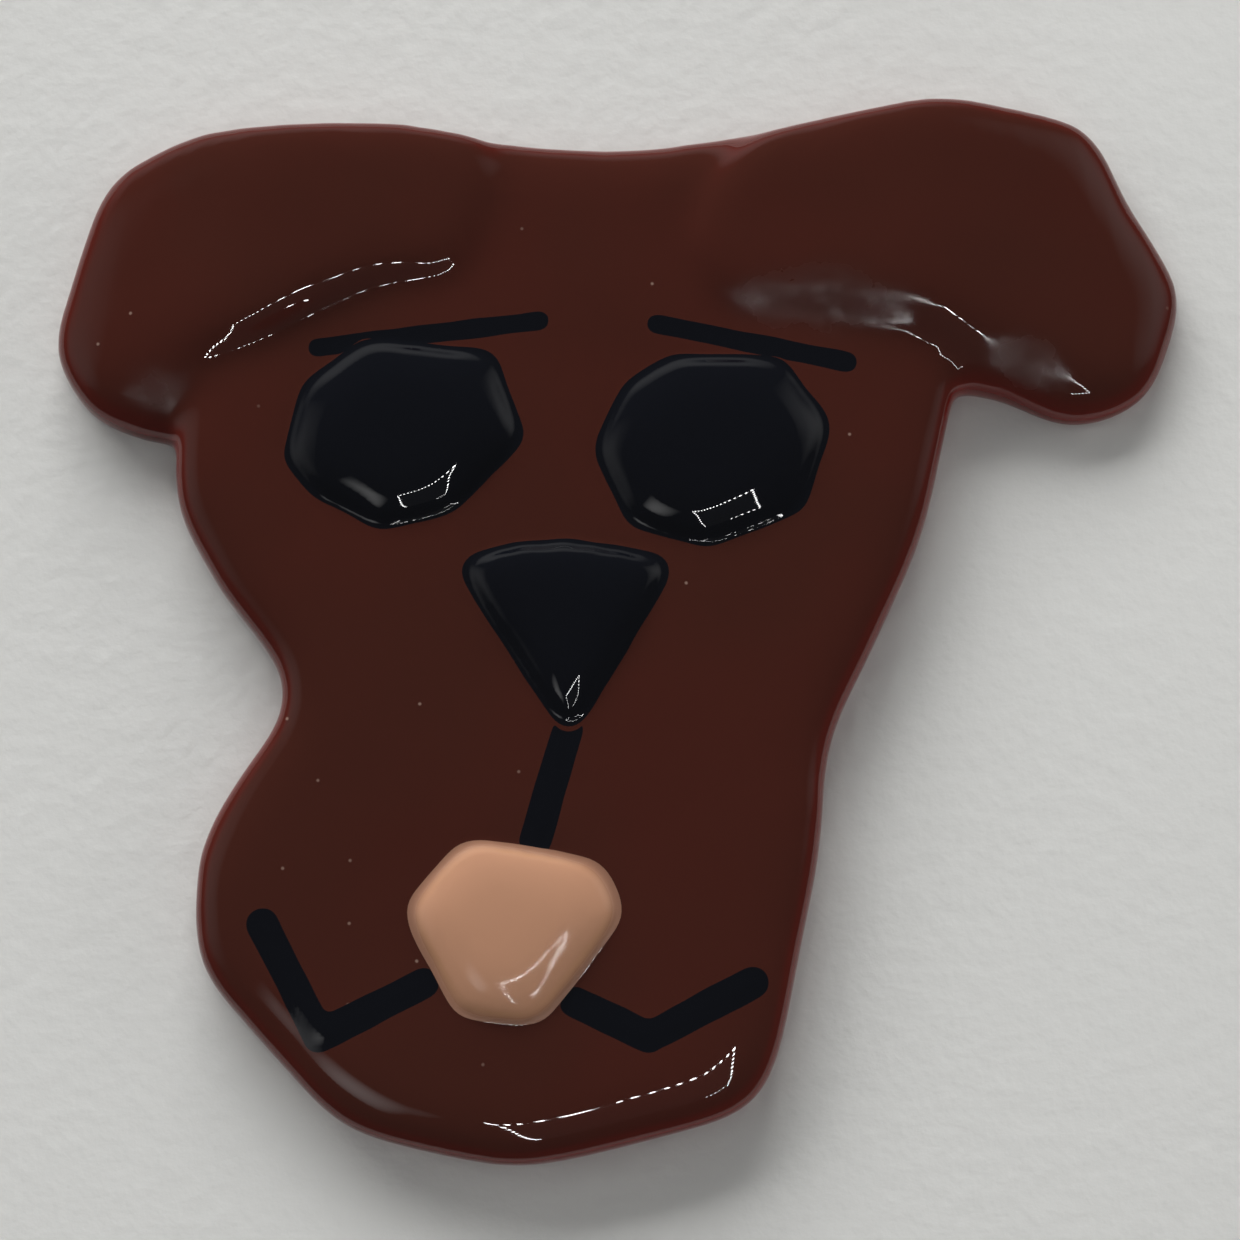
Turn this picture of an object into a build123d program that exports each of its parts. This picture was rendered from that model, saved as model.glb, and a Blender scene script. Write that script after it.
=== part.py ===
from build123d import *
import os

# A fused-glass dog face: coloured sheet glass, cut, stacked on a kiln shelf and melted into one plaque.
#
# The dog lies on its back. The flat back is at z = 0, +Z comes out of the face, +Y points to the top
# of the head and +X to the viewer's right. The origin is the middle of the flat back. Lengths are in
# millimetres.
#
# The blank is two sheets of brown glass. The ears lie on it and slump over its sides to the shelf. The
# eyes, the nose and the tongue are thick nuggets that stand proud of the face. The brows, the lip and
# the mouth are thin bars that have sunk almost flush with it.

# ---- Glass stock and what the melt does to it -------------------------------------------------------
SHEET = 3.0             # thickness of one sheet of fusing glass
SHOULDER = 2.8          # radius that surface tension gives to the blank's top edge
FOOT = 0.8              # bevel of an edge that lies on the kiln shelf

# ---- The blank: corners of the head as cut, and the radius that the melt gave them -------------------
HEAD_CORNER = 5.6
HEAD_CORNERS = [
    (-33.0, 49.5), (-1.1, 47.3), (29.0, 50.0), (34.6, 30.5), (29.4, 7.4), (19.3, -13.4),
    (19.4, -21.3), (13.9, -47.8), (-9.5, -53.5), (-26.0, -50.0), (-40.5, -34.4), (-41.5, -23.7),
    (-31.9, -8.2), (-44.4, 10.9), (-42.9, 27.2),
]

# ---- Ears: level on the blank, then down over its side to a lobe on the shelf ------------------------
EAR_RISE = 2.0          # height of an ear above the face
EAR_FALL = 10.5         # degrees by which it falls beyond the blank's side
EAR_BEVEL = 1.5         # bevel of an ear's top edge

# The outlines are those of the flat ears, before they fall.
LEFT_EAR_CORNERS = [
    (-42.4, 17.6, 2.6), (-53.4, 21.5, 5.0), (-57.2, 27.5, 4.0), (-51.8, 45.0, 5.0), (-42.8, 49.1, 5.0),
    (-23.6, 50.6, 5.0), (-10.9, 48.6, 3.0), (-14.5, 34.2, 5.0), (-31.0, 29.9, 5.0), (-41.9, 23.2, 3.0),
]
LEFT_FOLD_AT = (-40.2, 31.0)    # a point of the blank's side under the ear
LEFT_FOLD_HEADING = 172.0       # degrees from +X in which the ear runs off the blank there

RIGHT_EAR_CORNERS = [
    (33.4, 23.4, 2.6), (27.6, 28.9, 5.0), (7.2, 32.0, 5.0), (6.5, 41.3, 5.0), (12.9, 48.6, 5.0),
    (33.2, 53.1, 5.0), (48.2, 50.6, 5.0), (51.3, 42.8, 5.0), (57.3, 33.3, 4.5), (53.5, 22.8, 5.0),
    (46.2, 20.4, 5.0), (37.1, 24.0, 5.0),
]
RIGHT_FOLD_AT = (32.6, 35.0)
RIGHT_FOLD_HEADING = 2.0

# ---- Nuggets: a place on the face, and corners about that place --------------------------------------
NUGGET_SEAT = 1.5       # depth to which a nugget has sunk into the face
EYE_PROUD = 1.7         # height of an eye above the face
EYE_ROUND = 0.8         # radius of an eye's rim
EYE_CORNER = 1.6        # radius of an eye's melted corners
NOSE_PROUD = 1.4
NOSE_ROUND = 0.7
NOSE_CORNER = 1.5
TONGUE_PROUD = 1.5
TONGUE_ROUND = 0.7
TONGUE_CORNER = 1.5

LEFT_EYE_AT = (-21.2, 17.4)
LEFT_EYE_CORNERS = [
    (-11.9, -2.5), (-10.1, 5.1), (-4.2, 9.8), (8.8, 8.5), (12.0, -0.5), (5.0, -7.9), (-2.2, -9.7),
    (-9.1, -6.0),
]
RIGHT_EYE_AT = (9.0, 16.3)
RIGHT_EYE_CORNERS = [
    (-11.8, -0.4), (-8.2, -8.1), (-0.3, -10.3), (9.1, -6.6), (11.9, 2.4), (7.0, 9.0), (-3.8, 9.3),
    (-8.7, 6.3),
]
NOSE_AT = (-5.2, 0.6)
NOSE_CORNERS = [(-11.4, 4.0), (-0.4, 6.5), (11.3, 4.2), (0.3, -13.9)]
TONGUE_AT = (-10.4, -31.2)
TONGUE_CORNERS = [(-10.5, 2.0), (-4.5, 8.8), (8.5, 6.6), (10.9, 1.6), (3.0, -8.9), (-5.0, -8.3)]

# ---- Bars: strips of black glass, given by the middles of their round ends ---------------------------
BAR_SEAT = 1.2          # depth to which a bar has sunk into the face
BAR_PROUD = 0.4         # height of a bar above the face
BROW_WIDTH = 2.0
LIP_WIDTH = 3.2
MOUTH_WIDTH = 3.2
MOUTH_LAP = 1.0         # distance from the mouth's corner at which the outer bar of a side begins

LEFT_BROW = [(-29.9, 26.2), (-8.0, 28.9)]
RIGHT_BROW = [(3.6, 28.6), (22.4, 24.7)]
LIP_TOP = (0.2, -12.4)          # from the nose's place
LIP_BOTTOM = (2.2, 8.4)         # from the tongue's place
MOUTH_LEFT_CORNER = (-28.6, -41.3)
MOUTH_LEFT_TIP = (-34.2, -30.6)
MOUTH_LEFT_MEETS = (-8.2, -5.0)     # from the tongue's place
MOUTH_RIGHT_CORNER = (2.8, -41.4)
MOUTH_RIGHT_TIP = (12.7, -36.1)
MOUTH_RIGHT_MEETS = (6.0, -6.8)     # from the tongue's place

UP = (0, 0, 1)
FACE = 2 * SHEET                # height of the face above the shelf
EAR_TOP = FACE + EAR_RISE


def moved(place, step):
    """The point that lies one step from a place."""
    return (place[0] + step[0], place[1] + step[1])


def lapped(corner, tip):
    """The ends of an outer mouth bar, which begins just short of the corner of its side."""
    start, end = Vector(*corner), Vector(*tip)
    start += (end - start).normalized() * MOUTH_LAP
    return [(start.X, start.Y), tip]


def melted(corners, radii):
    """The flat outline of a piece cut to straight sides, with its corners melted round."""
    return make_face(FilletPolyline(*corners, radius=radii, close=True))


def blank_of(corners):
    """The blank as one slab on the shelf, with its top edge round and its foot bevelled."""
    slab = extrude(melted(corners, HEAD_CORNER), FACE, dir=UP)
    slab = fillet(slab.edges().group_by(Axis.Z)[-1], SHOULDER)
    return chamfer(slab.edges().group_by(Axis.Z)[0], FOOT)


def nugget(place, corners, corner_radius, proud, rim_radius):
    """A thick piece cut to straight sides, melted soft, that stands proud of the face."""
    shape = melted([moved(place, corner) for corner in corners], corner_radius)
    block = extrude(Pos(0, 0, FACE - NUGGET_SEAT) * shape, NUGGET_SEAT + proud, dir=UP)
    return fillet(block.edges().group_by(Axis.Z)[-1], rim_radius)


def bar(ends, width, blank):
    """A strip with round ends that has sunk into the face and follows its height, edge included."""
    start, end = (Vector(*point) for point in ends)
    strip = SlotCenterToCenter((end - start).length, width, rotation=0)
    angle = (end - start).get_signed_angle(Vector(1, 0), Vector(0, 0, -1))
    middle = (start + end) / 2
    stick = extrude(strip, BAR_SEAT + BAR_PROUD, dir=UP)
    place = Pos(middle.X, middle.Y, FACE - BAR_SEAT) * Rot(0, 0, angle)
    return place * stick & Pos(0, 0, BAR_PROUD) * blank


def ear(corners, fold_at, heading, blank):
    """An ear: a slab with a bevelled edge, bent where it passes the blank's shoulder, lying on both."""
    outward = Vector(1, 0).rotate(Axis.Z, heading)
    crest = Vector(*fold_at, EAR_TOP) - outward * SHOULDER
    fold = Axis(crest, Vector(*UP).cross(outward))
    points, radii = [corner[:2] for corner in corners], [corner[2] for corner in corners]
    slab = extrude(melted(points, radii), EAR_TOP, dir=UP)
    slab = chamfer(slab.edges().group_by(Axis.Z)[-1], EAR_BEVEL)
    mitre = Plane(origin=crest, z_dir=outward.rotate(Axis((0, 0, 0), fold.direction), EAR_FALL / 2))
    level = split(slab, mitre, keep=Keep.BOTTOM)
    fallen = split(slab.rotate(fold, EAR_FALL), mitre, keep=Keep.TOP)
    return split(level + fallen, Plane.XY, keep=Keep.TOP) - blank


def build():
    """Every piece by name, each in its place in the melted face."""
    blank = blank_of(HEAD_CORNERS)
    seam = Plane.XY.offset(SHEET)
    pieces = {
        "left_ear": ear(LEFT_EAR_CORNERS, LEFT_FOLD_AT, LEFT_FOLD_HEADING, blank),
        "right_ear": ear(RIGHT_EAR_CORNERS, RIGHT_FOLD_AT, RIGHT_FOLD_HEADING, blank),
        "left_eye": nugget(LEFT_EYE_AT, LEFT_EYE_CORNERS, EYE_CORNER, EYE_PROUD, EYE_ROUND),
        "right_eye": nugget(RIGHT_EYE_AT, RIGHT_EYE_CORNERS, EYE_CORNER, EYE_PROUD, EYE_ROUND),
        "nose": nugget(NOSE_AT, NOSE_CORNERS, NOSE_CORNER, NOSE_PROUD, NOSE_ROUND),
        "tongue": nugget(TONGUE_AT, TONGUE_CORNERS, TONGUE_CORNER, TONGUE_PROUD, TONGUE_ROUND),
    }
    bars = {
        "left_brow": (LEFT_BROW, BROW_WIDTH),
        "right_brow": (RIGHT_BROW, BROW_WIDTH),
        "lip_bar": ([moved(NOSE_AT, LIP_TOP), moved(TONGUE_AT, LIP_BOTTOM)], LIP_WIDTH),
        "mouth_left_inner": ([MOUTH_LEFT_CORNER, moved(TONGUE_AT, MOUTH_LEFT_MEETS)], MOUTH_WIDTH),
        "mouth_left_outer": (lapped(MOUTH_LEFT_CORNER, MOUTH_LEFT_TIP), MOUTH_WIDTH),
        "mouth_right_inner": ([MOUTH_RIGHT_CORNER, moved(TONGUE_AT, MOUTH_RIGHT_MEETS)], MOUTH_WIDTH),
        "mouth_right_outer": (lapped(MOUTH_RIGHT_CORNER, MOUTH_RIGHT_TIP), MOUTH_WIDTH),
    }
    for name, (ends, width) in bars.items():
        strip = bar(ends, width, blank)
        for laid_before in pieces.values():
            strip -= laid_before
        pieces[name] = strip
    face_sheet = split(blank, seam, keep=Keep.TOP)
    for piece in pieces.values():
        face_sheet -= piece
    pieces["face_sheet"] = face_sheet
    pieces["back_sheet"] = split(blank, seam, keep=Keep.BOTTOM)
    return pieces


if __name__ == "__main__":
    os.makedirs("parts", exist_ok=True)
    for name, piece in build().items():
        export_step(piece, f"parts/{name}.step")
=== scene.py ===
import math

import bpy
from bpy.props import FloatProperty, FloatVectorProperty, PointerProperty
from bpy.types import Operator, Panel, PropertyGroup
from mathutils import Matrix, Vector


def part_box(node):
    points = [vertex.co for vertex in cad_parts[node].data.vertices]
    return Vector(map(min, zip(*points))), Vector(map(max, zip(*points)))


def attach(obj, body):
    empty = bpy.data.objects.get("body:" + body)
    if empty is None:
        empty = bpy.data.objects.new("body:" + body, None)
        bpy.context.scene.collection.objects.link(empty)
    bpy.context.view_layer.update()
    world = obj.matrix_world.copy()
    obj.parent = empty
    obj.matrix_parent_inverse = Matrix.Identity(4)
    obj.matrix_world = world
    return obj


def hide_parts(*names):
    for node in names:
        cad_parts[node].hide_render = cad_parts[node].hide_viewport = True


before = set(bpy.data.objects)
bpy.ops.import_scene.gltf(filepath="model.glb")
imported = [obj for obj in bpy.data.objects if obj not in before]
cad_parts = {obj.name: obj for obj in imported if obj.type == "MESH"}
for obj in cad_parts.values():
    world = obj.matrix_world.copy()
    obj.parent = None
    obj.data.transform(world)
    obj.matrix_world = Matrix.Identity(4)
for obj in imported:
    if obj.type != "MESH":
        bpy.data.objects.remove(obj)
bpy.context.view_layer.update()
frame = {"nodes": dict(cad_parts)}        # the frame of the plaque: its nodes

bl_info = {
    "name": "Fused-Glass Dog Face",
    "version": (1, 0, 0),
    "blender": (4, 5, 0),
    "location": "View3D > Sidebar > Glass Dog",
    "description": "Melts the cut sheets of glass of a dog-face plaque into one skin and dresses them",
    "category": "Object",
}

MM = 0.001
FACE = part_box("face_sheet")[1].z        # height of the face above the shelf

BARS = {             # bars of black glass: how far each has spread, and the nodes that it stands for
    "left_brow": (0.0, "left_brow"), "right_brow": (0.0, "right_brow"),
    "lip": (-0.1 * MM, "lip_bar"), "mouth_left": (-0.1 * MM, "mouth_left_inner", "mouth_left_outer"),
    "mouth_right": (-0.1 * MM, "mouth_right_inner", "mouth_right_outer"),
}
NUGGETS = {          # how far each nugget has shrunk, and how wide its corners and edge have slumped
    "left_eye": (0.45 * MM, 1.7 * MM, 4.8 * MM), "right_eye": (0.5 * MM, 1.7 * MM, 4.8 * MM),
    "nose": (0.5 * MM, 1.8 * MM, 3.6 * MM), "tongue": (0.3 * MM, 2.3 * MM, 4.0 * MM),
}
MELT = "melt"               # the whole plaque in one skin, from which the pieces are cut in turn
SKIN = "melt_skin"          # a copy of it that lends every piece its normals

UNDER = -1.6 * MM           # how far below the shelf the glass reaches before it is sliced level
HEAD_CREST = 0.05 * MM      # how far the melted head stands above its sheets
EAR_CREST = 0.07 * MM       # how far an ear's fold stands above the ear's sheet
EAR_SEAM = 0.6 * MM         # how far below the face the ears' own glass begins on the head
HEAD_FLOW = 0.5 * MM        # how far the head's side has run past its cut edge
EAR_FLOW = 0.5 * MM         # the same for the ears
SIDE_SHOULDER = 2.8 * MM    # distance from the head's side to the line along which an ear bends
BAR_ROUND = 0.5 * MM        # how widely a bar's ends have melted round
NUGGET_SEAT = 1.5 * MM      # depth to which a nugget's own glass has sunk into the face
BAR_SEAT = 1.2 * MM         # the same for a bar
ABOVE = 5 * MM              # how far above the face the room of a piece reaches

GLOSS = 0.015               # roughness of fire-polished glass
SKIN_DEPTH = 0.05 * MM      # depth of the finest unevenness of the skin
BUBBLE = (0.30, 0.20, 0.16)         # colour of a small bubble in the brown glass
DUST_AND_SHEEN = (0.03, 0.032, 0.034)         # colour of dust and of a painted grey sheen on the turned edges of the black glass
PEACH_FOOT = (0.16, 0.075, 0.05)    # colour of the tongue's foot, where the brown shows through


# ---- What a user would change -----------------------------------------------------------------------
class KilnSizes(PropertyGroup):
    """How far the kiln has softened the glass."""
    grain: FloatProperty(
        name="Grain", description="Size of a face of the melted skin",
        default=0.4 * MM, min=0.2 * MM, max=2 * MM, unit="LENGTH")
    head_round: FloatProperty(
        name="Head rounding", description="How widely the corners of the cut head have melted round",
        default=5.0 * MM, min=0, max=10 * MM, unit="LENGTH")
    ear_round: FloatProperty(
        name="Ear rounding", description="The same for the ears",
        default=3.2 * MM, min=0, max=10 * MM, unit="LENGTH")
    blank_soften: FloatProperty(
        name="Blank softening", description="How widely the edges of the brown glass have rounded",
        default=1.8 * MM, min=0, max=5 * MM, unit="LENGTH")
    nugget_soften: FloatProperty(
        name="Nugget softening", description="The same for the eyes, the nose and the tongue",
        default=0.8 * MM, min=0, max=5 * MM, unit="LENGTH")
    fuse: FloatProperty(
        name="Fusing", description="How widely the glass has drawn up round a nugget's foot",
        default=0.35 * MM, min=0, max=3 * MM, unit="LENGTH")
    head_slump: FloatProperty(
        name="Head slump", description="How widely the head's shoulder has slumped",
        default=4.0 * MM, min=0, max=8 * MM, unit="LENGTH")
    ear_slump: FloatProperty(
        name="Ear slump", description="How widely an ear's edge has slumped",
        default=3.4 * MM, min=0, max=8 * MM, unit="LENGTH")
    bar_height: FloatProperty(
        name="Bar height", description="How far a bar stands above the face before it has melted in",
        default=0.06 * MM, min=0, max=2 * MM, unit="LENGTH")
    swirl: FloatProperty(
        name="Swirl", description="Depth of the slow unevenness of the skin",
        default=0.25 * MM, min=0, max=2 * MM, unit="LENGTH")
    swirl_size: FloatProperty(
        name="Swirl size", description="Width of its lumps",
        default=14 * MM, min=1 * MM, max=100 * MM, unit="LENGTH")
    wobble: FloatProperty(
        name="Wobble", description="Depth of the unevenness of a nugget's or a bar's outline",
        default=0.3 * MM, min=0, max=2 * MM, unit="LENGTH")
    ear_fall: FloatProperty(
        name="Ear fall", description="Slope of an ear beyond the side of the head",
        default=math.radians(10.5), min=0, max=math.radians(30), unit="ROTATION")
    ear_sink: FloatProperty(
        name="Ear sink", description="Slope of an ear towards the middle of the head",
        default=math.radians(2.4), min=0, max=math.radians(10), unit="ROTATION")
    ear_reach: FloatProperty(
        name="Ear reach", description="How far past its cut edge an ear's own glass has flowed",
        default=0.8 * MM, min=0, max=3 * MM, unit="LENGTH")
    nugget_reach: FloatProperty(
        name="Nugget reach", description="How far past its cut edge a nugget's own glass has flowed",
        default=0.55 * MM, min=0, max=2 * MM, unit="LENGTH")


class GlassColours(PropertyGroup):
    """The colours of the glass, linear."""
    brown: FloatVectorProperty(
        name="Brown", description="The brown glass", subtype="COLOR", size=3, min=0, max=1,
        default=(0.0450, 0.0118, 0.0077))
    # Painted glow: this red brown is painted on slopes and edges in place of the light that comes through
    # the glass there.
    painted_edge_glow: FloatVectorProperty(
        name="Red brown", description="The brown glass at its edges, where light comes through it",
        subtype="COLOR", size=3, min=0, max=1, default=(0.100, 0.0070, 0.0048))
    black: FloatVectorProperty(
        name="Black", description="The black glass", subtype="COLOR", size=3, min=0, max=1,
        default=(0.0033, 0.0038, 0.0059))
    peach: FloatVectorProperty(
        name="Peach", description="The tongue's glass", subtype="COLOR", size=3, min=0, max=1,
        default=(0.43, 0.225, 0.138))
    peach_rim: FloatVectorProperty(
        name="Peach rim", description="The tongue's glass where it is thin", subtype="COLOR",
        size=3, min=0, max=1, default=(0.38, 0.20, 0.10))


class StageSettings(PropertyGroup):
    """The table top and the lamps."""
    table: FloatVectorProperty(
        name="Table", description="Colour of the table top", subtype="COLOR", size=3, min=0, max=1,
        default=(0.645, 0.645, 0.625))
    room: FloatProperty(name="Room", description="Brightness of the room", default=0.06, min=0, max=2)
    window: FloatProperty(
        name="Window", description="Power of the broad light beyond the head", default=53.0, min=0,
        max=500, unit="POWER")
    low: FloatProperty(
        name="Low light", description="Power of the weak light from the chin's side", default=8.5,
        min=0, max=50, unit="POWER")
    frame: FloatProperty(
        name="Frame", description="Power of one strip of the lamp frame by the chin", default=0.2,
        min=0, max=50, unit="POWER")


# ---- Hands ------------------------------------------------------------------------------------------
def pick(*objects):
    """Selects these objects alone and makes the last of them active."""
    bpy.ops.object.select_all(action="DESELECT")
    for thing in objects:
        thing.select_set(True)
    bpy.context.view_layer.objects.active = objects[-1]


def finish_modifier(piece, kind, **settings):
    """Adds a modifier with its settings and applies it."""
    modifier = piece.modifiers.new(kind, kind)
    for name, value in settings.items():
        setattr(modifier, name, value)
    pick(piece)
    bpy.ops.object.modifier_apply(modifier=modifier.name)


def copy_mesh(source, name):
    """A copy of an object with its own mesh."""
    copy = bpy.data.objects.new(name, source.data.copy())
    bpy.context.scene.collection.objects.link(copy)
    return copy


def cut_glass(node):
    """A closed copy of one sheet, nugget or bar as it was cut."""
    copy = copy_mesh(frame["nodes"][node], node + "_cut")
    pick(copy)
    bpy.ops.object.mode_set(mode="EDIT")
    bpy.ops.mesh.select_all(action="SELECT")
    bpy.ops.mesh.remove_doubles(threshold=1e-6)
    bpy.ops.object.mode_set(mode="OBJECT")
    return copy


def join(pieces, name):
    """One object out of several that may overlap."""
    pick(*pieces)
    bpy.ops.object.join()
    whole = bpy.context.view_layer.objects.active
    whole.name = name
    return whole


def swell(piece, amount):
    """Moves a closed piece's skin outwards."""
    if amount:
        finish_modifier(piece, "DISPLACE", strength=amount, mid_level=0.0, direction="NORMAL")


def soften(piece, grain, width, sideways=True, upright=True):
    """Gives a piece an even skin and lets it flow over a width, both sideways and in height or one."""
    finish_modifier(piece, "REMESH", mode="VOXEL", voxel_size=grain, use_smooth_shade=True)
    passes = round((2 * width / grain) ** 2)
    if passes:
        finish_modifier(piece, "SMOOTH", factor=0.5, iterations=passes, use_x=sideways,
                        use_y=sideways, use_z=upright)


def clouds(name, size):
    """A cloudy texture with lumps of a size."""
    texture = bpy.data.textures.get(name) or bpy.data.textures.new(name, "CLOUDS")
    texture.noise_scale, texture.noise_depth = size, 1
    return texture


def column(nodes, width, grow, low, high, wobble=0):
    """A column between two heights with the nodes' outline, its corners melted round."""
    reach = 4 * width + 2 * MM
    grain = min(max(width / 3, 0.3 * MM), MM)
    stack = []
    for node in nodes:
        cut = cut_glass(node)
        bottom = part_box(node)[0].z
        for index in range(math.ceil((2 * reach + high - low) / MM)):
            layer = copy_mesh(cut, node + "_layer")
            layer.data.transform(Matrix.Translation((0, 0, low - reach - bottom + index * MM)))
            stack.append(layer)
        bpy.data.objects.remove(cut)
    pillar = join(stack, nodes[0] + "_column")
    soften(pillar, grain, width, upright=False)
    swell(pillar, grow)
    if wobble:
        finish_modifier(pillar, "DISPLACE", texture=clouds("wobble", 5 * MM), direction="NORMAL",
                        texture_coords="LOCAL", strength=wobble, mid_level=0.5)
    slice_at(pillar, low)
    slice_at(pillar, high, keep_above=False)
    return pillar


def nudge(piece, place, shift, reach):
    """Pulls a piece sideways at a place, less and less towards the end of its reach."""
    pick(piece)
    bpy.ops.object.mode_set(mode="EDIT")
    bpy.ops.mesh.select_all(action="DESELECT")
    bpy.ops.object.mode_set(mode="OBJECT")
    near = Vector(place) * MM
    for vertex in piece.data.vertices:
        vertex.select = (vertex.co.xy - near).length < 1.5 * MM
    bpy.ops.object.mode_set(mode="EDIT")
    bpy.ops.transform.translate(value=(shift[0] * MM, shift[1] * MM, 0), use_proportional_edit=True,
                                proportional_edit_falloff="SMOOTH", proportional_size=reach * MM)
    bpy.ops.object.mode_set(mode="OBJECT")


def slice_at(piece, height, keep_above=True):
    """Cuts a piece level at a height and closes the cut."""
    pick(piece)
    bpy.ops.object.mode_set(mode="EDIT")
    bpy.ops.mesh.select_all(action="SELECT")
    bpy.ops.mesh.bisect(plane_co=(0, 0, height), plane_no=(0, 0, 1), use_fill=True,
                        clear_inner=keep_above, clear_outer=not keep_above, threshold=1e-7)
    bpy.ops.object.mode_set(mode="OBJECT")


def combine(piece, other, operation):
    """One clean cut or join of two closed pieces."""
    faces = len(piece.data.polygons)
    finish_modifier(piece, "BOOLEAN", operation=operation, solver="MANIFOLD", object=other)
    if len(piece.data.polygons) in (0, faces):
        raise RuntimeError(f"{piece.name} wasn't cut")


def take_from_melt(node, cutter):
    """Cuts one piece's share out of the melt, and leaves the melt without it."""
    melt = bpy.data.objects[MELT]
    piece = copy_mesh(melt, node + "_glass")
    combine(piece, cutter, "INTERSECT")
    combine(melt, cutter, "DIFFERENCE")
    bpy.data.objects.remove(cutter)
    return piece


def polish(piece, slot, recipe, *nodes):
    """Gives a finished piece its normals, its material and its place on the frame."""
    pick(piece)
    bpy.ops.object.shade_smooth_by_angle(angle=math.radians(50))
    finish_modifier(piece, "DATA_TRANSFER", object=bpy.data.objects[SKIN], use_loop_data=True,
                    data_types_loops={"CUSTOM_NORMAL"}, loop_mapping="POLYINTERP_NEAREST",
                    use_max_distance=True, max_distance=0.02 * MM)
    piece.data.materials.clear()
    piece.data.materials.append(recipe)
    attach(piece, "root")
    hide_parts(*nodes)
    return piece


# ---- Shader maths -----------------------------------------------------------------------------------
class Wire:
    """A number that changes over a surface: a node's output, with arithmetic."""

    def __init__(self, mix, socket):
        self.mix, self.socket = mix, socket

    def maths(self, operation, *values):
        return self.mix.node("ShaderNodeMath", {"operation": operation}, *values)

    def __add__(self, other): return self.maths("ADD", self, other)
    def __radd__(self, other): return self.maths("ADD", other, self)
    def __mul__(self, other): return self.maths("MULTIPLY", self, other)

    def ramp(self, low, high):
        """0 at low, 1 at high, eased between; low may be the larger."""
        return self.mix.node("ShaderNodeMapRange", {"interpolation_type": "SMOOTHSTEP"},
                             self, low, high, 0.0, 1.0)


class Recipe:
    """A material and the nodes that are put into it."""

    def __init__(self, name):
        self.material = bpy.data.materials.new(name)
        self.material.use_nodes = True
        self.tree = self.material.node_tree
        self.shader = self.tree.nodes["Principled BSDF"]

    def node(self, kind, settings, *values, out=0, **sockets):
        """A node of a type, its settings first, then the values or wires of its sockets."""
        made = self.tree.nodes.new(kind)
        for name, value in settings.items():
            setattr(made, name, value)
        named = [(key.replace("_", " "), value) for key, value in sockets.items()]
        for key, value in list(enumerate(values)) + named:
            self.feed(made.inputs[key], value)
        return Wire(self, made.outputs[out])

    def feed(self, socket, value):
        """A wire or a plain value into a socket."""
        if isinstance(value, Wire):
            self.tree.links.new(value.socket, socket)
        else:
            socket.default_value = value

    def place(self):
        """Where on the piece a point lies, in the plaque's own frame."""
        return self.node("ShaderNodeTexCoord", {}, out="Object")

    def facing(self):
        """How far the surface there turns up: 1 on a level face, -1 on the back."""
        normal = self.node("ShaderNodeNewGeometry", {}, out="Normal")
        return self.node("ShaderNodeSeparateXYZ", {}, normal, out="Z")

    def noise(self, scale, detail=2.0, roughness=0.5):
        """Cloudy variation whose lumps are about 1 / scale metres across."""
        return self.node("ShaderNodeTexNoise", {}, Vector=self.place(), Scale=scale, Detail=detail,
                         Roughness=roughness)

    def patch(self, centre, reach):
        """1 in an oval patch of the piece, seen from above, and 0 well outside it; in millimetres."""
        step = self.node("ShaderNodeVectorMath", {"operation": "SUBTRACT"}, self.place(),
                         (centre[0] * MM, centre[1] * MM, 0))
        step = self.node("ShaderNodeVectorMath", {"operation": "MULTIPLY"}, step,
                         (1 / (reach[0] * MM), 1 / (reach[1] * MM), 0))
        distance = self.node("ShaderNodeVectorMath", {"operation": "LENGTH"}, step, out="Value")
        return distance.ramp(1.5, 0.1)

    def specks(self, scale, rare):
        """Small bubbles that have come up in a few cells of a size of 1 / scale metres."""
        cells = {"voronoi_dimensions": "2D"}, self.place()
        near = self.node("ShaderNodeTexVoronoi", *cells, Scale=scale)
        chance = self.node("ShaderNodeTexVoronoi", *cells, Scale=scale, out="Color")
        few = self.node("ShaderNodeSeparateXYZ", {}, chance).ramp(rare, rare + 0.02)
        return near.ramp(0.07, 0.02) * few

    def blend(self, factor, first, second):
        """A colour between two others."""
        made = self.tree.nodes.new("ShaderNodeMix")
        made.data_type = "RGBA"
        self.feed(made.inputs[0], factor)
        for socket, colour in ((made.inputs[6], first), (made.inputs[7], second)):
            self.feed(socket, colour if isinstance(colour, Wire) else (*colour, 1.0))
        return Wire(self, made.outputs[2])

    def finish(self, colour, roughness, height, depth):
        """Wires the shader: glass that light doesn't pass, with its skin's relief."""
        self.feed(self.shader.inputs["Base Color"], colour)
        self.feed(self.shader.inputs["Roughness"], roughness)
        self.shader.inputs["IOR"].default_value = 1.5
        bump = self.node("ShaderNodeBump", {}, Strength=1.0, Distance=depth, Height=height)
        self.feed(self.shader.inputs["Normal"], bump)
        return self.material


def shelf_relief(mix):
    """The back's matt print of the kiln shelf: where it is, and its grain."""
    back = mix.facing().ramp(-0.5, -0.9)
    return back, mix.noise(2600, 4.0, 0.6)


HAZE = (            # where brown glass has lost gloss in the kiln: place and reach in mm, and how much
    ((19.3, 31.0), (9.0, 4.2), 0.55),
    ((40.3, 25.0), (4.0, 3.4), 0.5),
    ((-46.0, 22.1), (4.0, 3.2), 0.34),
)


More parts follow.
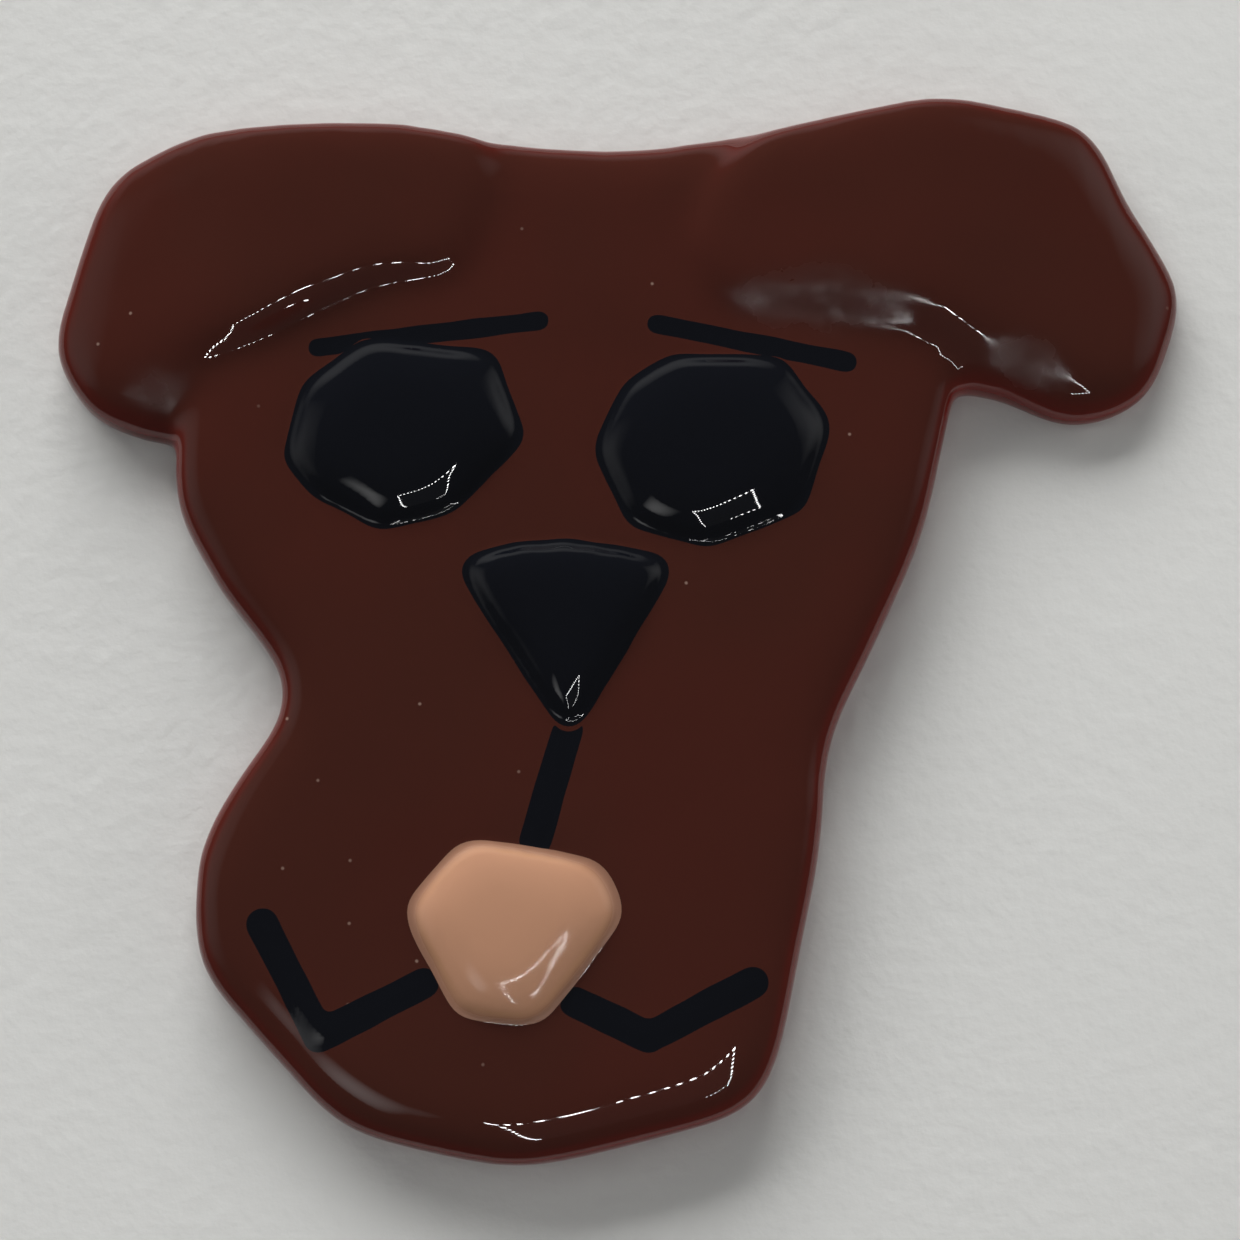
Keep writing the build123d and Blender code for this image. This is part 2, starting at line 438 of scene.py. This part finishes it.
def brown_glass():
    """Opaque brown glass: a painted red glow on slopes and edges where light comes through, hazy in a few
    places, matt on its back.
    """
    colours = bpy.context.scene.glass_colours
    mix = Recipe("fused_brown")
    back, grain = shelf_relief(mix)
    cloud = mix.noise(38, 2.0).ramp(0.35, 0.65)
    # Painted glow: the steeper the surface, the more of the red brown is painted on.
    edge = mix.facing().ramp(0.96, 0.82) * 0.35 + mix.facing().ramp(0.8, 0.45) * 0.55
    colour = mix.blend(edge + cloud * 0.08, colours.brown, colours.painted_edge_glow)
    front = mix.facing().ramp(0.1, 0.4)
    colour = mix.blend(mix.specks(310, 0.965) * front * 0.6, colour, BUBBLE)
    roughness = GLOSS + back * 0.5 + mix.noise(500, 3.0) * GLOSS
    uneven = (mix.noise(420, 3.0).ramp(0.3, 0.65) * 0.45 + 0.55) * front
    for centre, reach, amount in HAZE:
        roughness = roughness + mix.patch(centre, reach) * uneven * amount
    return mix.finish(colour, roughness, mix.noise(160, 1.0) * 0.25 + back * grain, SKIN_DEPTH)


def black_glass():
    """Opaque black glass, with a little dust and a painted grey sheen on its turned edges."""
    colours = bpy.context.scene.glass_colours
    mix = Recipe("fused_black")
    speck = mix.noise(900, 3.0).ramp(0.62, 0.75)
    edge = mix.facing().ramp(0.9, 0.3)
    # Painted sheen and dust: grey speckles are painted on the slopes only.
    colour = mix.blend(speck * edge * 0.5, colours.black, DUST_AND_SHEEN)
    roughness = GLOSS + mix.noise(500, 3.0) * GLOSS
    return mix.finish(colour, roughness, mix.noise(160, 1.0) * 0.25, SKIN_DEPTH)


def peach_glass():
    """Opaque peach glass, yellower where it thins towards its foot."""
    colours = bpy.context.scene.glass_colours
    mix = Recipe("fused_peach")
    height = mix.node("ShaderNodeSeparateXYZ", {}, mix.place(), out="Z")
    rim = mix.facing().ramp(0.97, 0.6)
    foot = height.ramp(FACE + 0.7 * MM, FACE - 0.1 * MM)
    colour = mix.blend(rim, colours.peach, colours.peach_rim)
    colour = mix.blend(foot * 0.8, colour, PEACH_FOOT)
    roughness = 0.07 + mix.noise(500, 3.0) * 0.03 + foot * 0.35
    return mix.finish(colour, roughness, mix.noise(200, 2.0) * 0.3, SKIN_DEPTH)


# ---- Pieces -----------------------------------------------------------------------------------------
EAR_FOLDS = {       # a point of the head's side under the ear, and the heading in which it leaves it
    "left_ear": ((-40.2 * MM, 31.0 * MM), math.radians(172)),
    "right_ear": ((32.6 * MM, 35.0 * MM), math.radians(2)),
}
NUDGES = (          # where the head's side has run, how far, and over what reach, in millimetres
    ((-34.0, -8.5), (1.0, 0.2), 12.0),
    ((-42.0, 12.0), (0.5, 0.0), 12.0),
    ((-41.0, -24.0), (0.5, 0.0), 10.0),
    ((-22.0, 49.0), (0.0, -0.6), 22.0),
    ((2.0, 46.0), (0.0, -0.7), 16.0),
    ((35.0, 50.5), (0.0, -0.3), 14.0),
    ((46.5, 20.5), (0.0, -0.4), 8.0),
    ((-49.0, 19.5), (0.0, -0.6), 8.0),
    ((54.5, 33.5), (0.0, 0.2), 9.0),
)
EAR_NUDGES = {      # the same for the ears' lower edges, which lie on the face
    "left_ear": (((-24.0, 32.0), (0.0, 2.2), 13.0), ((-36.0, 27.0), (-0.6, 1.2), 9.0)),
    "right_ear": (((22.0, 30.0), (0.0, 1.2), 12.0), ((32.0, 26.5), (0.5, 1.0), 8.0)),
}
NUGGET_NUDGES = {   # the same for the nose's top edge
    "nose": (((-12.6, 5.6), (0.3, 0.55), 5.0), ((2.4, 5.6), (-0.2, 0.25), 5.0)),
}
EAR_BEVELS = {      # the broad lower slope of each ear: a point of it in mm, and the way it faces
    "left_ear": ((-46.0, 24.5, 6.35), (-0.06, -0.29, 0.955)),
    "right_ear": ((32.0, 31.8, 7.9), (0.06, -0.28, 0.958)),
}
EAR_SLIP = Vector((0, -0.6 * MM, 0))        # how far the ears have slid down the face


def ear_blank(node, sizes):
    """An ear as it lies on the head: level there, and sloping down beyond its side."""
    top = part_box(node)[1].z
    body = column((node,), sizes.ear_round, EAR_FLOW, UNDER, top + 2 * MM)
    body.data.transform(Matrix.Translation(EAR_SLIP))
    (x, y), heading = EAR_FOLDS[node]
    outward = Vector((math.cos(heading), math.sin(heading), 0))
    crest = Vector((x, y, top + EAR_CREST)) - outward * SIDE_SHOULDER
    slopes = [(crest, outward * math.sin(tilt) + Vector((0, 0, math.cos(tilt))))
              for tilt in (sizes.ear_fall, -sizes.ear_sink)]
    bevel, facing = EAR_BEVELS[node]
    slopes.append((Vector(bevel) * MM, Vector(facing)))
    pick(body)
    bpy.ops.object.mode_set(mode="EDIT")
    for point, slope in slopes:
        bpy.ops.mesh.select_all(action="SELECT")
        bpy.ops.mesh.bisect(plane_co=point, plane_no=slope, use_fill=True, clear_outer=True,
                            threshold=1e-7)
    bpy.ops.object.mode_set(mode="OBJECT")
    for place, shift, reach in EAR_NUDGES[node]:
        nudge(body, place, shift, reach)
    soften(body, 0.6 * MM, sizes.ear_slump, sideways=False)
    return body


def nugget_column(node, grow, low, high, sizes):
    """A column with a nugget's melted outline, so much wider than the nugget itself."""
    shrunk, rounding, _ = NUGGETS[node]
    pillar = column((node,), rounding, grow - shrunk, low, high, sizes.wobble)
    for place, shift, reach in NUGGET_NUDGES.get(node, ()):
        nudge(pillar, place, shift, reach)
    return pillar


class MakeMelt(Operator):
    """Melt the sheets, ears, nuggets and bars into one skin"""
    bl_idname = "glass_dog.melt"
    bl_label = "Melt the glass"

    def execute(self, context):
        sizes = context.scene.kiln_sizes
        brown = [column(("back_sheet",), sizes.head_round, HEAD_FLOW, UNDER, FACE + HEAD_CREST)]
        soften(brown[0], 0.7 * MM, sizes.head_slump, sideways=False)
        brown += [ear_blank(node, sizes) for node in EAR_FOLDS]
        brown = join(brown, "brown_blank")
        soften(brown, sizes.grain, sizes.blank_soften)
        soft = [brown]
        for place, shift, reach in NUDGES:
            nudge(brown, place, shift, reach)
        for node, (_, _, slump) in NUGGETS.items():
            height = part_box(node)[1].z
            nugget = nugget_column(node, 0, FACE - 4 * MM, height + 0.2 * MM, sizes)
            soften(nugget, 0.4 * MM, slump, sideways=False)
            soften(nugget, 0.3 * MM, sizes.nugget_soften)
            soft.append(nugget)
        raised = copy_mesh(brown, "raised_blank")
        raised.data.transform(Matrix.Translation((0, 0, sizes.bar_height)))
        for spread, *nodes in BARS.values():
            bar = column(nodes, BAR_ROUND, spread - 0.2 * MM, FACE - 2 * MM, FACE + 2 * MM)
            combine(bar, raised, "INTERSECT")
            soften(bar, 0.3 * MM, 0.9 * MM, sideways=False)
            soft.append(bar)
        bpy.data.objects.remove(raised)
        melt = join(soft, MELT)
        soften(melt, sizes.grain, sizes.fuse)
        finish_modifier(melt, "DISPLACE", texture=clouds("swirl", sizes.swirl_size),
                        texture_coords="LOCAL", direction="NORMAL", strength=sizes.swirl, mid_level=0.5)
        slice_at(melt, 0)
        copy_mesh(melt, SKIN)
        return {"FINISHED"}


def nugget_room(node, sizes):
    """The room that a nugget's own glass takes up, open to above."""
    return nugget_column(node, sizes.nugget_reach, FACE - NUGGET_SEAT, FACE + ABOVE, sizes)


def bar_room(spread, nodes, sizes):
    """The room that a bar's own glass takes up, open to above."""
    return column(nodes, BAR_ROUND, spread, FACE - BAR_SEAT, FACE + 3 * MM, sizes.wobble)


def ear_room(node, sizes):
    """The room that an ear's own glass takes up: all over its outline but the head's own glass."""
    room = column((node,), sizes.ear_round, EAR_FLOW + sizes.ear_reach, -2 * MM, FACE + ABOVE)
    room.data.transform(Matrix.Translation(EAR_SLIP))
    head = column(("back_sheet",), sizes.head_round, 0, -4 * MM, FACE - EAR_SEAM)
    combine(room, head, "DIFFERENCE")
    bpy.data.objects.remove(head)
    return room


class MakeEars(Operator):
    """Cut both ears out of the melt"""
    bl_idname = "glass_dog.ears"
    bl_label = "Ears"

    def execute(self, context):
        for node in EAR_FOLDS:
            piece = take_from_melt(node, ear_room(node, context.scene.kiln_sizes))
            polish(piece, "brown_glass", bpy.data.materials["fused_brown"], node)
        return {"FINISHED"}


class MakeNuggets(Operator):
    """Cut the eyes and the nose out of the melt"""
    bl_idname = "glass_dog.nuggets"
    bl_label = "Eyes and nose"

    def execute(self, context):
        for node in ("left_eye", "right_eye", "nose"):
            piece = take_from_melt(node, nugget_room(node, context.scene.kiln_sizes))
            polish(piece, "black_glass", bpy.data.materials["fused_black"], node)
        return {"FINISHED"}


class MakeTongue(Operator):
    """Cut the tongue out of the melt"""
    bl_idname = "glass_dog.tongue"
    bl_label = "Tongue"

    def execute(self, context):
        piece = take_from_melt("tongue", nugget_room("tongue", context.scene.kiln_sizes))
        polish(piece, "peach_glass", peach_glass(), "tongue")
        return {"FINISHED"}


class MakeBars(Operator):
    """Cut the brows, the lip and the mouth out of the melt"""
    bl_idname = "glass_dog.bars"
    bl_label = "Brows, lip and mouth"

    def execute(self, context):
        for name, (spread, *nodes) in BARS.items():
            piece = take_from_melt(name, bar_room(spread, nodes, context.scene.kiln_sizes))
            polish(piece, "black_glass", bpy.data.materials["fused_black"], *nodes)
        return {"FINISHED"}


class MakeHead(Operator):
    """Turn what is left of the melt into the head"""
    bl_idname = "glass_dog.head"
    bl_label = "Head"

    def execute(self, context):
        head = bpy.data.objects[MELT]
        head.name = "head_glass"
        polish(head, "brown_glass", bpy.data.materials["fused_brown"], "back_sheet", "face_sheet")
        bpy.data.objects.remove(bpy.data.objects[SKIN])
        return {"FINISHED"}


# ---- Stage ------------------------------------------------------------------------------------------
SIDE_SHARE = 0.07           # power of a side window as a share of the main one
BEAD_PITCH = 0.02           # metres from one bead of light to the next along a strip
BEAD_GAP = 0.66             # share of that pitch which stays dark
BEAD_BOOST = 2.5            # brightness of a bead, against a strip without beads
FADE_BOOST = 36.0           # makes up for what a faded lamp loses towards its edges
PANEL_GLOW = 0.12           # watts for each square metre of the panel within the bright strips
TABLE_DROP = 0.02 * MM      # gap below the plaque, so that its back and the table don't coincide
CAMERA_PLACE = (0, -52.69 * MM, 298.44 * MM)
CAMERA_TILT = math.radians(10)
CAMERA_LENS = 88.68         # millimetres, on a sensor 36 mm wide


def table_top():
    """The material of the pale table: matt, with a faint grain."""
    mix = Recipe("table_top")
    cloud = mix.noise(9, 3.0).ramp(0.3, 0.7)
    tone = Vector(bpy.context.scene.dog_stage.table)
    colour = mix.blend(cloud * 0.5, tuple(tone), tuple(tone * 0.96))
    return mix.finish(colour, 0.6, mix.noise(420, 4.0), 0.12 * MM)


def lamp_maths(tree, number, *steps):
    """A chain of arithmetic in a lamp's nodes."""
    for operation, value in steps:
        step = tree.nodes.new("ShaderNodeMath")
        step.operation = operation
        tree.links.new(number, step.inputs[0])
        if isinstance(value, float):
            step.inputs[1].default_value = value
        else:
            tree.links.new(value, step.inputs[1])
        number = step.outputs[0]
    return number


def pattern(data, beads):
    """Lets a lamp shine in a row of beads or, without beads, fade towards its edges."""
    data.use_nodes = True
    tree = data.node_tree
    split = tree.nodes.new("ShaderNodeSeparateXYZ")
    tree.links.new(tree.nodes.new("ShaderNodeNewGeometry").outputs["Parametric"], split.inputs[0])
    across, up = split.outputs["X"], split.outputs["Y"]
    if beads:
        along = across if data.size > data.size_y else up
        glow = lamp_maths(tree, along, ("MULTIPLY", float(beads)), ("FRACT", 0.0),
                          ("GREATER_THAN", BEAD_GAP), ("MULTIPLY", BEAD_BOOST))
    else:
        fade = [lamp_maths(tree, side, ("SUBTRACT", 1.0), ("MULTIPLY", side)) for side in (across, up)]
        glow = lamp_maths(tree, fade[0], ("MULTIPLY", fade[1]), ("MULTIPLY", FADE_BOOST))
    tree.links.new(glow, tree.nodes["Emission"].inputs["Strength"])


def lamp(name, size, place, power, seen=True, beads=0, faded=False):
    """A flat lamp that faces the plaque; if it isn't seen, then it lights without a reflection."""
    data = bpy.data.lights.new(name, "AREA")
    data.shape, data.size, data.size_y = "RECTANGLE", *size
    data.energy = power
    if beads or faded:
        pattern(data, beads)
    thing = bpy.data.objects.new(name, data)
    bpy.context.scene.collection.objects.link(thing)
    thing.location = place
    thing.rotation_euler = (-Vector(place)).to_track_quat("-Z", "Y").to_euler()
    thing.visible_glossy = seen
    return thing


def lamp_frame(centre, width, height, strip, power):
    """A panel edged with bright strips on three sides and a half, facing the plaque."""
    panel = lamp("frame_panel", (width, height), centre, PANEL_GLOW * width * height)
    across, up, _ = panel.rotation_euler.to_matrix().transposed()
    for name, size, step in (
        ("frame_top", (width, strip), up * height / 2),
        ("frame_bottom", (width * 0.4, strip), up * -height / 2 + across * width * 0.3),
        ("frame_left", (strip, height), across * -width / 2),
        ("frame_right", (strip, height), across * width / 2),
    ):
        side = lamp(name, size, Vector(centre) * 0.98 + step, power * max(size) / width,
                    beads=round(max(size) / BEAD_PITCH))
        side.rotation_euler = panel.rotation_euler


class MakeStage(Operator):
    """Lay the table, hang the lamps and set the camera"""
    bl_idname = "glass_dog.stage"
    bl_label = "Stage"

    def execute(self, context):
        settings = context.scene.dog_stage
        bpy.ops.object.select_all(action="DESELECT")
        bpy.ops.mesh.primitive_plane_add(size=3.0, location=(0, 0, -TABLE_DROP))
        table = context.view_layer.objects.active
        table.name = "table"
        table.data.materials.append(table_top())

        world = bpy.data.worlds.new("room")
        world.use_nodes = True
        backdrop = world.node_tree.nodes["Background"]
        backdrop.inputs["Color"].default_value = (1.0, 1.0, 1.0, 1.0)
        backdrop.inputs["Strength"].default_value = settings.room
        context.scene.world = world

        # These light the plaque and its shadow, and aren't seen in the gloss.
        lamp("window", (2.0, 0.7), (-0.48, 1.48, 0.68), settings.window, seen=False)
        lamp("window_right", (0.9, 0.4), (1.4, 0.3, 0.42), settings.window * SIDE_SHARE, seen=False)
        lamp("window_left", (0.9, 0.4), (-1.5, 0.1, 0.45), settings.window * SIDE_SHARE, seen=False)
        lamp("fill", (1.6, 1.6), (-0.2, 0.1, 1.6), 1.4, seen=False)
        lamp("low", (1.6, 0.12), (0.8, -1.0, 0.12), settings.low, seen=False)
        # These are what the gloss reflects: three pale walls, a framed panel and a small one.
        lamp("wall", (3.0, 1.0), (-0.5, 1.6, 0.5), 1.8, faded=True)
        lamp("wall_right", (1.4, 1.1), (1.2, 0.6, 0.85), 0.9, faded=True)
        lamp("wall_left", (1.4, 1.1), (-1.2, 0.2, 0.85), 0.6, faded=True)
        lamp_frame((0.125, -0.285, 0.74), 0.30, 0.24, 0.007, settings.frame)
        lamp("panel", (0.22, 0.17), (-0.24, -0.24, 0.72), 0.07, faded=True)

        camera = bpy.data.objects.new("camera", bpy.data.cameras.new("camera"))
        context.scene.collection.objects.link(camera)
        camera.location = CAMERA_PLACE
        camera.rotation_euler = (CAMERA_TILT, 0, 0)
        camera.data.lens, camera.data.sensor_width = CAMERA_LENS, 36.0
        camera.data.clip_start, camera.data.clip_end = 0.01, 20.0
        context.scene.camera = camera
        context.scene.view_settings.view_transform = "Standard"
        return {"FINISHED"}


class GlassDogPanel(Panel):
    """The steps in the order in which they are made"""
    bl_idname = "VIEW3D_PT_glass_dog"
    bl_label = "Glass Dog"
    bl_space_type = "VIEW_3D"
    bl_region_type = "UI"
    bl_category = "Glass Dog"

    def draw(self, context):
        for group in (context.scene.kiln_sizes, context.scene.glass_colours, context.scene.dog_stage):
            for name in group.__annotations__:
                self.layout.prop(group, name)
        for step in STEPS:
            self.layout.operator(step.bl_idname)


STEPS = (MakeMelt, MakeEars, MakeNuggets, MakeTongue, MakeBars, MakeHead, MakeStage)
GROUPS = {"kiln_sizes": KilnSizes, "glass_colours": GlassColours, "dog_stage": StageSettings}


def register():
    """Adds the settings, the steps and the panel."""
    for cls in (*GROUPS.values(), *STEPS, GlassDogPanel):
        bpy.utils.register_class(cls)
    for name, group in GROUPS.items():
        setattr(bpy.types.Scene, name, PointerProperty(type=group))


def unregister():
    """Takes them away again."""
    for name in GROUPS:
        delattr(bpy.types.Scene, name)
    for cls in reversed((*GROUPS.values(), *STEPS, GlassDogPanel)):
        bpy.utils.unregister_class(cls)


def main():
    """Makes the whole plaque and its stage."""
    register()
    brown_glass()
    black_glass()
    bpy.ops.glass_dog.melt()
    bpy.ops.glass_dog.ears()
    bpy.ops.glass_dog.nuggets()
    bpy.ops.glass_dog.tongue()
    bpy.ops.glass_dog.bars()
    bpy.ops.glass_dog.head()
    bpy.ops.glass_dog.stage()


if __name__ == "__main__":
    main()
